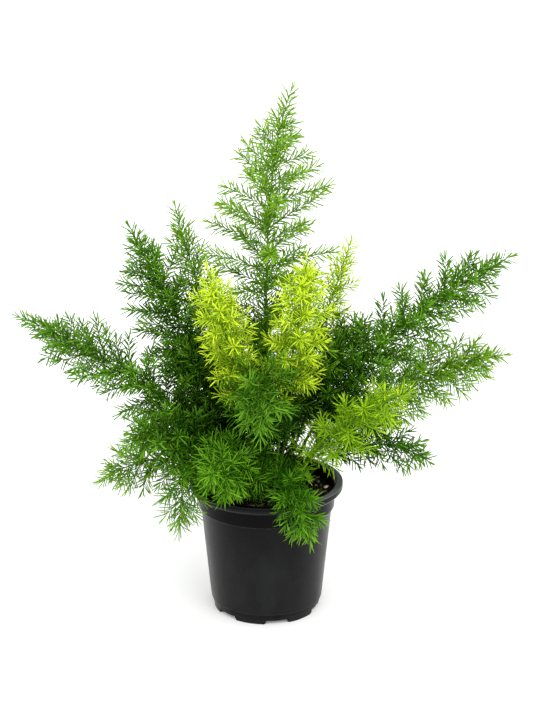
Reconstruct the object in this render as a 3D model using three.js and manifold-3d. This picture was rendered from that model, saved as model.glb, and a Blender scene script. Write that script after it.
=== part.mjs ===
// A foxtail fern in a round black nursery pot: the pot, its potting mix, a pebble and one solid per frond.
// Units are millimetres, +Z is up and the plant's front faces -Y.
// The origin is the middle of the pot's foot, on the surface that the pot stands on.
import * as THREE from "three";
import { mergeVertices } from "three/addons/utils/BufferGeometryUtils.js";
import Module from "manifold-3d";

const wasm = await Module();
wasm.setup();

// ---- Driving dimensions ----

const GAP = 0.3; // clearance between pieces that touch
const POT = {
  height: 142,
  wall: 1.5,
  rimRadius: 81, // outside of the turned-down lip
  rimWidth: 6.2, // of its flat top
  rimSlope: 4, // height over which the wall leans out to that flat top
  lipDrop: 8.2,
  lipThickness: 3,
  lipBevel: [1.8, 2.4], // across and up, along the lower edge of the lip
  collarRadius: 72.3,
  collarHeight: 116, // where the collar steps out of the tapered body
  collarStep: 1, // height of that step
  bodyTopRadius: 69.7,
  bodyFootRadius: 59.3,
  footHeight: 12,
  footRadius: 56,
  footFlare: 0.8,
  footPadWidth: 4,
  floorHeight: 4.5, // underside of the floor, above the ground
  segments: 36,
};
// Drain cuts in the foot ring. The first one's angle is from the front, towards +X.
const NOTCH = { count: 6, firstAngle: 11.5, width: 26, height: 4 };
const DRAIN = { count: 6, radius: 4.5, atRadius: 40, sides: 8 }; // round holes in the floor
const SOIL = { level: 128, relief: 1.6, rings: 3, segments: 20 };
const HOLE = { clearance: 0.5, sides: 5, depth: 24 }; // what each stem stands in
// Flakes of bark lie on the mix in a ring, away from its middle by 42 mm, give or take the spread.
const CHIP = { count: 7, size: [11, 5, 2.4], variation: 0.3, tilt: 0.5, away: 42, spread: 16 };
const PEBBLE = { x: 64.5, y: 8, radius: 4.2, stretch: 1.15, squash: 0.75, sunk: 1.4 };
const STEM = { footRadius: 2.1, tipRadius: 1.0, step: 30 }; // three-sided
const BRANCH = {
  radius: 0.95,
  tipRadius: 0.7,
  spacing: 18.5, // along the stem
  footAngle: 70, // from the stem, for the lowest branch
  tipAngle: 45,
  variation: 0.08, // of its length
  room: 1.5, // kept free round it
  free: 6, // from here on it keeps clear of its own stem too
  cutTo: [1, 0.8, 0.6, 0.45], // shares of its length that it may have where there is less room
};
const NEEDLE = { length: 12, lean: 50, radius: 0.6, shortest: 4.5, cut: 0.8 };
// Six needles stand round each node of a branch. The nodes are counted back from its tip.
const NODE = { width: 1.5, last: 6, spacing: 13, rootward: 7, turn: 30 };
const LEADER = { length: 26, beyond: 9, last: 6, spacing: 8 }; // the frond's own tip, with closer nodes
const GOLDEN_ANGLE = 137.5; // between one side branch and the next, round the stem
const SHARE_BARE = 0.2; // of a stem's length, with no side branches
const LOWEST_REACH = 0.2; // where on a half wave, which a frond's outline follows, its lowest branch is
const TAPER = 0.5; // the power of that wave: a higher one makes the outline more of a cone
const SHARE_POINTED = 0.25; // of the leafy length, where side branches get shorter evenly

const SHADES = {
  deep: material("foliage_deep", 0x2f6317, 0.55),
  mid: material("foliage_mid", 0x4f9a28, 0.55),
  fresh: material("foliage_fresh", 0x6fb52c, 0.5),
  lime: material("foliage_lime", 0xbfd925, 0.5),
};
const POT_BLACK = material("pot_black", 0x232425, 0.42);
const MIX_BROWN = material("potting_mix", 0x1d150f, 0.95);
const PEBBLE_CREAM = material("pebble", 0xc9ab78, 0.7);

// Each stem leaves the mix at a root (x, y), goes straight up by a rise, and bends by its knee to its tip.
// Its longest side branches have the length reach.
const FRONDS = [
  frond("tall", "mid", [4, 14], 120, [-14, 26, 433], [25, 38, 551], 68, { bare: 0.22, taper: 0.65 }),
  frond("left_high", "deep", [-16, 13], 60, [-102, 58, 307], [-144, 64, 403], 50),
  frond("left_back", "mid", [-6, 24], 80, [-76, 100, 307], [-98, 120, 415], 32, { bare: 0.3 }),
  frond("left_long", "deep", [-27, 3], 45, [-130, -8, 269], [-257, 0, 323], 46, { bare: 0.15 }),
  frond("left_inner", "deep", [-22, 10], 50, [-62, 22, 253], [-92, 14, 293], 44),
  frond("left_mid", "deep", [-28, -6], 45, [-100, -60, 241], [-146, -82, 206], 36),
  frond("left_low", "mid", [-34, -1], 28, [-108, 8, 188], [-177, 10, 135], 32),
  frond("left_droop", "mid", [-30, -13], 40, [-88, -66, 241], [-88, -94, 124], 30, { bare: 0.3 }),
  frond("right_upper", "deep", [24, 5], 60, [100, 0, 303], [250, 0, 387], 50, { bare: 0.3 }),
  frond("right_lower", "mid", [28, 12], 40, [120, 56, 243], [255, 50, 265], 42),
  frond("right_inner", "deep", [20, 14], 50, [66, 50, 253], [110, 50, 306], 40, { bare: 0.35 }),
  frond("right_low", "deep", [34, 3], 28, [104, 34, 199], [176, 26, 157], 24, { bare: 0.25 }),
  frond("lime_left", "lime", [-10, -4], 60, [-36, -46, 293], [-58, -60, 391], 31, { bare: 0.44 }),
  frond("lime_centre", "lime", [8, -4], 60, [30, -50, 301], [40, -60, 401], 34, { bare: 0.43 }),
  frond("lime_back", "lime", [13, 20], 70, [58, 56, 283], [90, 80, 384], 28, { bare: 0.42 }),
  frond("lime_low", "lime", [26, -8], 40, [70, -56, 238], [136, -78, 265], 36, { bare: 0.3 }),
  frond("front_centre", "deep", [0, -14], 70, [-12, -96, 350], [-6, -140, 239], 34, { bare: 0.3 }),
  frond("front_ball", "fresh", [-17, -18], 35, [-33, -70, 198], [-55, -128, 193], 38, { taper: 0.4 }),
  frond("front_droop", "fresh", [14, -25], 35, [21, -98, 193], [46, -112, 123], 26, { bare: 0.3 }),
  frond("back_centre", "deep", [0, 32], 60, [-6, 110, 303], [-16, 142, 258], 42, { bare: 0.1 }),
  frond("back_left", "deep", [-17, 28], 50, [-80, 110, 253], [-118, 136, 243], 42),
  frond("back_right", "mid", [18, 27], 50, [70, 100, 268], [98, 132, 261], 42, { bare: 0.4 }),
  frond("back_low_left", "mid", [-28, 21], 35, [-90, 90, 193], [-140, 116, 168], 36, { bare: 0.1 }),
  frond("back_low_right", "deep", [29, 21], 35, [90, 90, 193], [138, 114, 169], 36, { bare: 0.1 }),
  frond("back_droop", "fresh", [9, 33], 35, [26, 104, 235], [34, 126, 143], 30, { bare: 0.1 }),
];

function frond(name, shade, root, rise, knee, tip, reach, { bare = SHARE_BARE, taper = TAPER } = {}) {
  return { name: "frond_" + name, shade, root, rise, knee, tip, reach, bare, taper };
}

function material(name, color, roughness) {
  return new THREE.MeshStandardMaterial({ name, color, roughness, metalness: 0 });
}

// ---- Small tools ----

const UP = new THREE.Vector3(0, 0, 1);
const radians = THREE.MathUtils.degToRad;

// Draws between -1 and 1, the same on every run.
function makeDraw(seed) {
  let state = seed;
  return () => {
    state = (Math.imul(state, 1664525) + 1013904223) >>> 0;
    return state / 2 ** 31 - 1;
  };
}

function solidOf(geometry) {
  const bare = geometry.clone();
  bare.deleteAttribute("normal");
  bare.deleteAttribute("uv");
  const merged = mergeVertices(bare, 1e-3);
  const vertProperties = merged.attributes.position.array;
  const triVerts = new Uint32Array(merged.index.array);
  return new wasm.Manifold(new wasm.Mesh({ numProp: 3, vertProperties, triVerts }));
}

function indexed(positions, faces) {
  const geometry = new THREE.BufferGeometry();
  geometry.setAttribute("position", new THREE.Float32BufferAttribute(positions, 3));
  geometry.setIndex(faces);
  return geometry;
}

function meshOf(name, solid, surface) {
  const made = solid.getMesh();
  const geometry = indexed(Array.from(made.vertProperties), Array.from(made.triVerts));
  geometry.computeVertexNormals();
  const mesh = new THREE.Mesh(geometry, surface);
  mesh.name = name;
  return mesh;
}

function lathe(profile, segments) {
  const points = profile.map(([radius, height]) => new THREE.Vector2(radius, height));
  return new THREE.LatheGeometry(points, segments).rotateX(Math.PI / 2);
}

function upright(radius, height, sides) {
  return new THREE.CylinderGeometry(radius, radius, height, sides).rotateX(Math.PI / 2);
}

// ---- Pot ----

// The pot's outer and inner lines share this taper.
function bodyRadius(height) {
  const share = (height - POT.footHeight) / (POT.collarHeight - POT.footHeight);
  return THREE.MathUtils.lerp(POT.bodyFootRadius, POT.bodyTopRadius, share);
}

function innerRadius(height) {
  const outer = height < POT.collarHeight ? bodyRadius(height) : POT.collarRadius;
  return outer - POT.wall;
}

function potSolid() {
  const { height, wall, rimRadius, rimWidth, rimSlope, lipDrop, collarRadius, collarHeight } = POT;
  const { collarStep, footHeight, footRadius, footFlare, footPadWidth, floorHeight, segments } = POT;
  const { lipThickness, lipBevel } = POT;
  const floorTop = floorHeight + wall;
  const lipFoot = height - lipDrop;
  const edge = wall / 2; // the rounding of the lip's outer edge
  const profile = [
    [0, floorHeight],
    [footRadius - footPadWidth, floorHeight],
    [footRadius - footPadWidth, 0],
    [footRadius, 0],
    [footRadius + footFlare, footHeight - 1],
    [bodyRadius(footHeight), footHeight],
    [bodyRadius(collarHeight - collarStep), collarHeight - collarStep],
    [collarRadius, collarHeight],
    [collarRadius, height - wall - rimSlope],
    [rimRadius - rimWidth + wall, height - wall],
    [rimRadius - lipThickness, height - wall],
    [rimRadius - lipThickness, lipFoot],
    [rimRadius - lipBevel[0], lipFoot],
    [rimRadius, lipFoot + lipBevel[1]],
    [rimRadius, height - edge],
    [rimRadius - edge, height],
    [rimRadius - rimWidth, height],
    [innerRadius(height), height - rimSlope],
    [innerRadius(collarHeight + collarStep), collarHeight + collarStep],
    [innerRadius(collarHeight - collarStep), collarHeight - collarStep],
    [innerRadius(floorTop), floorTop],
    [0, floorTop],
  ];
  let pot = solidOf(lathe(profile, segments));
  for (let i = 0; i < NOTCH.count; i++) {
    const angle = radians(NOTCH.firstAngle + (i * 360) / NOTCH.count - 90);
    const depth = footPadWidth + 4;
    const cut = new THREE.BoxGeometry(depth, NOTCH.width, 2 * NOTCH.height)
      .translate(footRadius - footPadWidth - 1 + depth / 2, 0, 0)
      .rotateZ(angle);
    pot = pot.subtract(solidOf(cut));
  }
  for (let i = 0; i < DRAIN.count; i++) {
    const hole = upright(DRAIN.radius, 4 * wall, DRAIN.sides)
      .translate(DRAIN.atRadius, 0, floorHeight + wall / 2)
      .rotateZ((i * 2 * Math.PI) / DRAIN.count);
    pot = pot.subtract(solidOf(hole));
  }
  return pot;
}

// ---- Potting mix and pebble ----

function mixHeight(x, y) {
  const swell = Math.sin(x / 11 + 1.3) * Math.cos(y / 13);
  const crumb = Math.sin(x / 4.7 - y / 5.9) + Math.cos(x / 6.1 + y / 3.9);
  return SOIL.level + SOIL.relief * (0.7 * swell + 0.3 * crumb);
}

// The mix fills the pot from its floor: flat below, uneven on top.
function mixSolid() {
  const { rings, segments, level } = SOIL;
  const foot = POT.floorHeight + POT.wall + GAP;
  const shrink = Math.cos(Math.PI / POT.segments); // keeps its corners inside the pot's flats
  const { collarHeight, collarStep } = POT;
  const wallLine = [
    [innerRadius(foot), foot],
    [innerRadius(collarHeight - collarStep), collarHeight + collarStep],
    [innerRadius(level), collarHeight + 3 * collarStep],
    [innerRadius(level), level],
  ].map(([radius, height]) => [radius * shrink - GAP, height]);
  const topRadius = wallLine.at(-1)[0];
  const lines = [[0, foot], ...wallLine];
  for (let i = rings - 1; i >= 0; i--) lines.push([(topRadius * i) / rings, level]);
  const geometry = lathe(lines, segments);
  const position = geometry.attributes.position;
  for (let i = 0; i < position.count; i++) {
    if (position.getZ(i) < level - 0.5) continue;
    position.setZ(i, mixHeight(position.getX(i), position.getY(i)));
  }
  return solidOf(geometry);
}

function chips() {
  const draw = makeDraw(21);
  const made = [];
  while (made.length < CHIP.count) {
    const away = CHIP.away + CHIP.spread * draw();
    const round = Math.PI * draw();
    const [x, y] = [away * Math.cos(round), away * Math.sin(round)];
    const turn = new THREE.Euler(CHIP.tilt * draw(), CHIP.tilt * draw(), Math.PI * draw());
    const [long, wide, thick] = CHIP.size;
    const vary = (size) => size * (1 + CHIP.variation * draw());
    const nearStem = FRONDS.some(({ root }) => Math.hypot(root[0] - x, root[1] - y) < long);
    if (nearStem || Math.hypot(PEBBLE.x - x, PEBBLE.y - y) < long) continue;
    const flake = new THREE.BoxGeometry(vary(long), vary(wide), thick);
    flake.applyMatrix4(new THREE.Matrix4().makeRotationFromEuler(turn));
    made.push(solidOf(flake.translate(x, y, mixHeight(x, y) + thick / 4)));
  }
  return made;
}

function pebbleSolid(radius) {
  const { x, y, stretch, squash, sunk } = PEBBLE;
  const ball = new THREE.SphereGeometry(radius, 9, 6).rotateX(Math.PI / 2).scale(stretch, 1, squash);
  return solidOf(ball.translate(x, y, mixHeight(x, y) + PEBBLE.radius * squash - sunk));
}

function stemHole({ root }) {
  const open = HOLE.depth + 2 * SOIL.relief + 4;
  const radius = (STEM.footRadius + HOLE.clearance) / Math.cos(Math.PI / HOLE.sides);
  const hole = upright(radius, open, HOLE.sides);
  return solidOf(hole.translate(root[0], root[1], SOIL.level - HOLE.depth - GAP + open / 2));
}

// ---- Room to grow in ----

// The least distance between two straight lines, one from a to b and one from c to d.
function lineDistance(a, b, c, d) {
  const ab = b.clone().sub(a);
  const cd = d.clone().sub(c);
  const ca = a.clone().sub(c);
  const [e, f, g, h, k] = [ab.dot(ab), cd.dot(cd), ab.dot(cd), ab.dot(ca), cd.dot(ca)];
  const across = e * f - g * g;
  let s = across > 1e-9 ? THREE.MathUtils.clamp((g * k - h * f) / across, 0, 1) : 0;
  const t = THREE.MathUtils.clamp((g * s + k) / f, 0, 1);
  s = THREE.MathUtils.clamp((g * t - h) / e, 0, 1);
  return a.clone().addScaledVector(ab, s).distanceTo(c.clone().addScaledVector(cd, t));
}

// What has grown so far, in cubic cells, so that no twig grows into another one or into the pot.
const CELL = 20;
const grown = new Map();

function* cellsOf({ from, to }) {
  const low = from.clone().min(to).subScalar(STEM.footRadius).divideScalar(CELL).floor();
  const high = from.clone().max(to).addScalar(STEM.footRadius).divideScalar(CELL).floor();
  for (let x = low.x; x <= high.x; x++) {
    for (let y = low.y; y <= high.y; y++) {
      for (let z = low.z; z <= high.z; z++) yield [x, y, z].join();
    }
  }
}

function occupy(twig) {
  for (const cell of cellsOf(twig)) {
    if (!grown.has(cell)) grown.set(cell, []);
    grown.get(cell).push(twig);
  }
}

function clearOfPot({ from, to, radius }) {
  const steps = 6;
  const margin = radius + 2 * GAP;
  for (let i = 0; i <= steps; i++) {
    const { x, y, z } = from.clone().lerp(to, i / steps);
    const away = Math.hypot(x, y);
    const above = z > POT.height + margin;
    const outside = away > POT.rimRadius + margin;
    const within = away < innerRadius(POT.height) - margin && z > SOIL.level + 3 * SOIL.relief + margin;
    if (!above && !outside && !within) return false;
  }
  return true;
}

// True where a twig would touch no other twig, nor the pot and its mix. Needles of one twig don't cross,
// and a side branch may be near its own frond's stem as far as its free point.
function hasRoom(twig) {
  if (!clearOfPot(twig)) return false;
  for (const cell of cellsOf(twig)) {
    for (const other of grown.get(cell) ?? []) {
      if (other.owner === twig.owner) continue;
      const from = other.frond === twig.frond && twig.free ? twig.free : twig.from;
      const apart = lineDistance(from, twig.to, other.from, other.to);
      if (apart < twig.radius + other.radius + GAP) return false;
    }
  }
  return true;
}

// ---- Stems, side branches and needles ----

// Three corners round a point of a rod.
function ring({ centre, side, over }, radius, turn) {
  return [0, 120, 240].map((corner) => {
    const angle = radians(turn + corner);
    return centre
      .clone()
      .addScaledVector(side, radius * Math.cos(angle))
      .addScaledVector(over, radius * Math.sin(angle));
  });
}

// The six faces between two rings, by their corners' places in the rings' joined list.
const BAND = [0, 1, 2].flatMap((i) => {
  const next = (i + 1) % 3;
  return [
    [i, next, i + 3],
    [next, next + 3, i + 3],
  ];
});

// One closed skin over a whole frond. A rod is { rings, end, raise }: raise(corners, band, face) gives
// the point of a needle or another rod that stands on that face, or nothing where the face stays bare.
function skinOf(stem) {
  const points = [];
  const faces = [];
  const add = (point) => points.push(point) - 1;
  const cover = (face, raised) => {
    if (!raised) return faces.push(...face);
    if (!raised.isVector3) return growRod(face, raised);
    return closeWith(face, add(raised));
  };
  const closeWith = (face, top) => face.forEach((corner, i) => faces.push(corner, face[(i + 1) % 3], top));
  const growRod = (root, { rings, end, raise }) => {
    let here = root;
    rings.forEach((corners, band) => {
      const next = corners.map(add);
      const both = [...here, ...next];
      BAND.forEach((face, number) => {
        const numbers = face.map((i) => both[i]);
        cover(numbers, raise(numbers.map((i) => points[i]), band, number));
      });
      here = next;
    });
    closeWith(here, add(end));
  };
  const foot = stem.rings[0].map(add);
  faces.push(foot[0], foot[2], foot[1]);
  growRod(foot, { ...stem, rings: stem.rings.slice(1) });
  return solidOf(indexed(points.flatMap((point) => point.toArray()), faces));
}

const middle = (corners) => corners[0].clone().add(corners[1]).add(corners[2]).divideScalar(3);

// The direction that leans by an angle from a rod's line, away from it through a point.
function leaning(centre, along, point, degrees) {
  const out = point.clone().sub(centre);
  out.addScaledVector(along, -out.dot(along)).normalize();
  return out.multiplyScalar(Math.sin(radians(degrees))).addScaledVector(along, Math.cos(radians(degrees)));
}

// A needle on a face, as long as the room there lets it be.
function needleOn(corners, kin, centre, along) {
  const from = middle(corners);
  const way = leaning(centre, along, from, NEEDLE.lean);
  for (let size = NEEDLE.length; size >= NEEDLE.shortest; size *= NEEDLE.cut) {
    const needle = { ...kin, from, to: from.clone().addScaledVector(way, size), radius: NEEDLE.radius };
    if (!hasRoom(needle)) continue;
    occupy(needle);
    return needle.to;
  }
  return null;
}

// Where nodes stand on a length, counted back from its tip.
function nodePlaces(length, { last, spacing }) {
  const count = Math.max(1, Math.floor((length - last - NODE.rootward) / spacing) + 1);
  return Array.from({ length: count }, (_, i) => length - last - (count - 1 - i) * spacing);
}

// A side branch that grows out of a stem's face, with a node of six needles every few millimetres.
function branchRod({ from, to, corners, frond, owner }) {
  const length = from.distanceTo(to);
  const along = to.clone().sub(from).normalize();
  const side = corners[0].clone().sub(from);
  side.addScaledVector(along, -side.dot(along)).normalize();
  const over = along.clone().cross(side);
  const ringAt = (at, turn) => {
    const radius = THREE.MathUtils.lerp(BRANCH.radius, BRANCH.tipRadius, at / length);
    return ring({ centre: from.clone().addScaledVector(along, at), side, over }, radius, turn);
  };
  const rings = nodePlaces(length, NODE).flatMap((at, i) => [
    ringAt(at, i * NODE.turn),
    ringAt(at + NODE.width, i * NODE.turn + 60),
  ]);
  const raise = (face, band) => (band % 2 ? needleOn(face, { frond, owner }, from, along) : null);
  return { rings, end: to, raise };
}

// The first place round a node where a side branch has room, as long as it can be.
function placeBranch(faces, { number, station }, reach, angle, kin) {
  for (const size of BRANCH.cutTo) {
    for (const shift of [0, 2, 4, 1, 5, 3]) {
      const face = (number + shift) % faces.length;
      const corners = faces[face];
      const from = middle(corners);
      const way = leaning(station.centre, station.along, from, angle);
      const to = from.clone().addScaledVector(way, reach * size);
      const free = from.clone().addScaledVector(way, BRANCH.free);
      const twig = { ...kin, from, free, to, radius: BRANCH.room };
      if (!hasRoom(twig)) continue;
      occupy(twig);
      return { ...twig, corners, face };
    }
  }
  return null;
}

function stemLine({ root, rise, knee, tip }) {
  const foot = new THREE.Vector3(...root, SOIL.level);
  const risen = foot.clone().addScaledVector(UP, rise);
  return new THREE.CubicBezierCurve3(foot, risen, new THREE.Vector3(...knee), new THREE.Vector3(...tip));
}

// Reads a stem's middle and its two crosswise directions at a length along it. These never twist.
function stemStations(curve, length) {
  const side = new THREE.Vector3(1, 0, 0);
  return (at) => {
    const along = curve.getTangentAt(at / length);
    side.addScaledVector(along, -side.dot(along)).normalize();
    const over = along.clone().cross(side);
    return { along, over, side: side.clone(), centre: curve.getPointAt(at / length) };
  };
}

// A stem's rings: plain ones where it is bare, then a pair at each node, and closer pairs near its tip.
// Each node is kept by the number of its pair's first ring.
function planStem(frond) {
  const curve = stemLine(frond);
  const length = curve.getLength();
  const bare = frond.bare * length;
  const stationAt = stemStations(curve, length);
  const ringAt = (at, turn, station = stationAt(at)) => {
    return ring(station, THREE.MathUtils.lerp(STEM.footRadius, STEM.tipRadius, at / length), turn);
  };
  const start = stationAt(0);
  start.centre.addScaledVector(UP, -HOLE.depth);
  const rings = [ringAt(0, 0, start)];
  const plain = Math.ceil(bare / STEM.step);
  for (let i = 0; i < plain; i++) rings.push(ringAt((i * bare) / plain, 0));

  const leafy = length - LEADER.length - bare;
  const branches = Math.round(leafy / BRANCH.spacing);
  const places = Array.from({ length: branches }, (_, i) => bare + (i * leafy) / branches);
  const close = nodePlaces(LEADER.length, LEADER).map((at) => length - LEADER.length + at);
  const nodes = new Map();
  [...places, ...close].forEach((at, i) => {
    const turn = i * (GOLDEN_ANGLE - 120);
    const station = stationAt(at);
    const share = (at - bare) / (length - bare);
    nodes.set(rings.length, { station, share, number: 2 * (i % 3), leader: i >= branches });
    rings.push(ringAt(at, turn, station), ringAt(at + NODE.width, turn + 60));
  });

  const end = curve.getPointAt(1).addScaledVector(curve.getTangentAt(1), LEADER.beyond);
  const kin = { frond: frond.name, owner: frond.name };
  const centres = [...rings.slice(1).map(middle), end];
  centres.slice(1).forEach((to, i) => occupy({ ...kin, from: centres[i], to, radius: STEM.footRadius }));
  return { frond, rings, nodes, end };
}

// Side branches wind round the stem by the golden angle, and are longest below its middle.
function planBranches({ frond, rings, nodes }, draw) {
  for (const [band, node] of nodes) {
    if (node.leader) continue;
    const both = [...rings[band], ...rings[band + 1]];
    const faces = BAND.map((face) => face.map((i) => both[i]));
    const wave = THREE.MathUtils.lerp(LOWEST_REACH, 1, node.share);
    const point = Math.min(1, (1 - node.share) / SHARE_POINTED);
    const outline = Math.sin(Math.PI * wave) ** frond.taper * point;
    const reach = frond.reach * outline * (1 + BRANCH.variation * draw());
    const angle = THREE.MathUtils.lerp(BRANCH.footAngle, BRANCH.tipAngle, node.share);
    node.branch = placeBranch(faces, node, reach, angle, { frond: frond.name, owner: frond.name + band });
  }
}

function frondSolid({ frond, rings, nodes, end }) {
  const raise = (corners, band, face) => {
    const node = nodes.get(band);
    if (!node) return null;
    const kin = { frond: frond.name, owner: frond.name };
    if (node.leader) return needleOn(corners, kin, node.station.centre, node.station.along);
    return node.branch?.face === face ? branchRod(node.branch) : null;
  };
  return skinOf({ rings, end, raise });
}

// ---- The whole plant ----

const plant = new THREE.Group();
plant.name = "foxtail_fern_in_pot";
plant.add(meshOf("pot", potSolid(), POT_BLACK));

const mixParts = new THREE.Group();
let mix = chips().reduce((solid, chip) => solid.add(chip), mixSolid());
mix = FRONDS.reduce((solid, each) => solid.subtract(stemHole(each)), mix);
mix = mix.subtract(pebbleSolid(PEBBLE.radius + GAP));
mixParts.add(meshOf("potting_mix", mix, MIX_BROWN));
mixParts.add(meshOf("pebble", pebbleSolid(PEBBLE.radius), PEBBLE_CREAM));
plant.add(mixParts);

const fronds = new THREE.Group();
const draw = makeDraw(7);
const plans = FRONDS.map(planStem);
plans.forEach((plan) => planBranches(plan, draw));
plans.forEach((plan) => fronds.add(meshOf(plan.frond.name, frondSolid(plan), SHADES[plan.frond.shade])));
plant.add(fronds);

export default plant;
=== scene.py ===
"""A foxtail fern in a black nursery pot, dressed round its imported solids.

Lengths are in metres, but the rows of FRONDS and FLAKES are in millimetres, as a grower would note them.
+Z is up, the plant's front faces -Y, and the origin is the middle of the pot's foot.
"""

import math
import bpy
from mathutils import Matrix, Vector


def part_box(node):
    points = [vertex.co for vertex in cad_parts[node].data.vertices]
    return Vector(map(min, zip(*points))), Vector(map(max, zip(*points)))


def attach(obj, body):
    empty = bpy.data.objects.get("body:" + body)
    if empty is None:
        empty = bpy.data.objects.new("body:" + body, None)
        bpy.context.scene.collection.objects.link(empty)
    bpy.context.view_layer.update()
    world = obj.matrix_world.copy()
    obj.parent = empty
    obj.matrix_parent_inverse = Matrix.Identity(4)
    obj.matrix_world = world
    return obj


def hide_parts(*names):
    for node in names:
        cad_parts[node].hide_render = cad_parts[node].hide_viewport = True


bl_info = {
    "name": "Foxtail Fern in a Nursery Pot",
    "version": (1, 0, 0),
    "blender": (4, 5, 0),
    "location": "3D Viewport > Sidebar > Fern",
    "description": "Makes a potted foxtail fern: a moulded pot, potting mix, a pebble and needled fronds",
    "category": "Add Mesh",
}

from typing import NamedTuple

import bmesh
import bpy
from bpy.props import FloatProperty, FloatVectorProperty, IntProperty, PointerProperty
from mathutils import Euler, Matrix, Vector, noise

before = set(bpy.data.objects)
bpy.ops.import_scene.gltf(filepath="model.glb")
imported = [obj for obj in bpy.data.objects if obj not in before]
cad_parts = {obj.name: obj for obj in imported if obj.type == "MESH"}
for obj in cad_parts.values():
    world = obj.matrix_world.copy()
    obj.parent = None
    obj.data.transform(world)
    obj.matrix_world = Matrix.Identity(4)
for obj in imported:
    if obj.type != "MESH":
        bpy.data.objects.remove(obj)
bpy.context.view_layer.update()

MM = 0.001
BODY = "root"
POT_LOW, POT_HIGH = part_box("pot")
PEBBLE_LOW, PEBBLE_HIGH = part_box("pebble")


# ---- The fronds' lines ----


class Frond(NamedTuple):
    """One leafy stem. Its line leaves the mix at root, rises straight up, and bends by knee to tip."""

    name: str
    shade: str
    root: tuple
    rise: float
    knee: tuple
    tip: tuple
    reach: float  # of its longest side branches
    bare: float = 0.2  # share of its length with no side branches
    taper: float = 0.5  # a higher one makes its outline more of a cone
    openness: float = 1.0  # a higher one sets its side branches further apart
    youth: float = 0.0  # a higher one gives its needles more of their newest colour
    slender: float = 1.0  # a higher one gives it longer and thinner needles
    spread: float = 1.0  # a higher one makes its side branches stand out more squarely


FRONDS = [
    Frond("tall", "mid", (4, 14), 120, (-14, 26, 433), (25, 38, 551), 70,
          bare=0.22, taper=0.6, youth=0.26, spread=1.22),
    Frond("left_high", "deep", (-16, 13), 60, (-102, 58, 307), (-144, 64, 403), 51,
          openness=0.7, youth=0.14),
    Frond("left_back", "mid", (-6, 24), 80, (-76, 100, 305), (-98, 120, 411), 32,
          bare=0.3, youth=0.06),
    Frond("left_long", "deep", (-27, 3), 45, (-130, -8, 269), (-257, 0, 323), 46,
          bare=0.12, openness=0.76, youth=0.3),
    Frond("left_inner", "deep", (-22, 10), 50, (-62, 22, 253), (-92, 14, 293), 44,
          openness=0.7, youth=0.08),
    Frond("left_mid", "deep", (-28, -6), 45, (-100, -60, 241), (-146, -82, 206), 36,
          openness=0.75, youth=0.08),
    Frond("left_low", "mid", (-34, -1), 28, (-108, 8, 188), (-177, 10, 135), 32,
          youth=-0.12),
    Frond("left_droop", "mid", (-30, -13), 40, (-88, -66, 241), (-88, -94, 122), 30,
          bare=0.3, youth=-0.3, slender=1.15),
    Frond("right_upper", "deep", (24, 5), 60, (100, 0, 303), (250, 0, 387), 46,
          bare=0.28, openness=0.76, youth=0.3),
    Frond("right_lower", "mid", (28, 12), 40, (120, 56, 243), (255, 50, 265), 42,
          bare=0.28, openness=0.72, youth=0.12),
    Frond("right_inner", "deep", (20, 14), 50, (66, 50, 253), (110, 50, 306), 40,
          bare=0.44, openness=0.75, youth=0.15),
    Frond("right_low", "deep", (34, 3), 28, (104, 34, 199), (176, 26, 151), 24,
          bare=0.38, openness=0.8),
    Frond("lime_left", "lime", (-10, -4), 60, (-36, -46, 293), (-58, -60, 391), 31,
          bare=0.44, youth=0.18),
    Frond("lime_centre", "lime", (8, -4), 60, (30, -50, 301), (40, -60, 401), 33,
          bare=0.46, youth=0.18),
    Frond("lime_back", "lime", (13, 20), 70, (58, 56, 283), (90, 80, 384), 28,
          bare=0.42, openness=1.8),
    Frond("lime_low", "lime", (26, -8), 40, (76, -56, 226), (145, -78, 269), 32,
          bare=0.26, openness=1.7, youth=-0.52, slender=1.15),
    Frond("front_centre", "deep", (0, -14), 70, (-12, -96, 350), (-6, -140, 237), 38,
          bare=0.3, taper=0.38, youth=0.16, slender=1.2),
    Frond("front_ball", "fresh", (-17, -18), 35, (-34, -70, 199), (-57, -128, 194), 34,
          taper=0.3, openness=0.85, slender=1.2, spread=1.1),
    Frond("front_droop", "fresh", (14, -25), 35, (21, -98, 193), (45, -112, 117), 25,
          bare=0.3, youth=-0.12, slender=1.1),
    Frond("back_centre", "deep", (0, 32), 60, (-6, 110, 303), (-16, 142, 258), 42, bare=0.1),
    Frond("back_left", "deep", (-17, 28), 50, (-80, 110, 253), (-118, 136, 243), 42),
    Frond("back_right", "mid", (18, 27), 50, (70, 100, 268), (98, 132, 261), 42, bare=0.4),
    Frond("back_low_left", "mid", (-28, 21), 35, (-90, 90, 193), (-140, 116, 168), 36, bare=0.1),
    Frond("back_low_right", "deep", (29, 21), 35, (90, 90, 193), (138, 114, 169), 36, bare=0.36),
    Frond("back_droop", "fresh", (9, 33), 35, (26, 104, 235), (34, 126, 143), 30, bare=0.1),
]


class Leafage(NamedTuple):
    """How one shade of frond differs from the usual growth. Each but the last multiplies a setting."""

    needle_length: float = 1.0
    needle_width: float = 1.0
    branch_spacing: float = 1.0
    node_spacing: float = 1.0
    needle_lean: float = 1.0
    painted_shade_share: float = 1.0  # how much of the painted shade in the plant's middle its needles have


LEAFAGE = {
    "deep": Leafage(needle_length=1.04, needle_width=1.08, node_spacing=1.12),
    "mid": Leafage(needle_length=1.12, painted_shade_share=0.8),
    "fresh": Leafage(
        needle_width=0.76, branch_spacing=0.65, node_spacing=0.86, needle_lean=0.95, painted_shade_share=0.6
    ),
    "lime": Leafage(
        needle_width=0.88, branch_spacing=0.65, node_spacing=0.82, needle_lean=1.1, painted_shade_share=0.2
    ),
}


# ---- Settings ----


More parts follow.
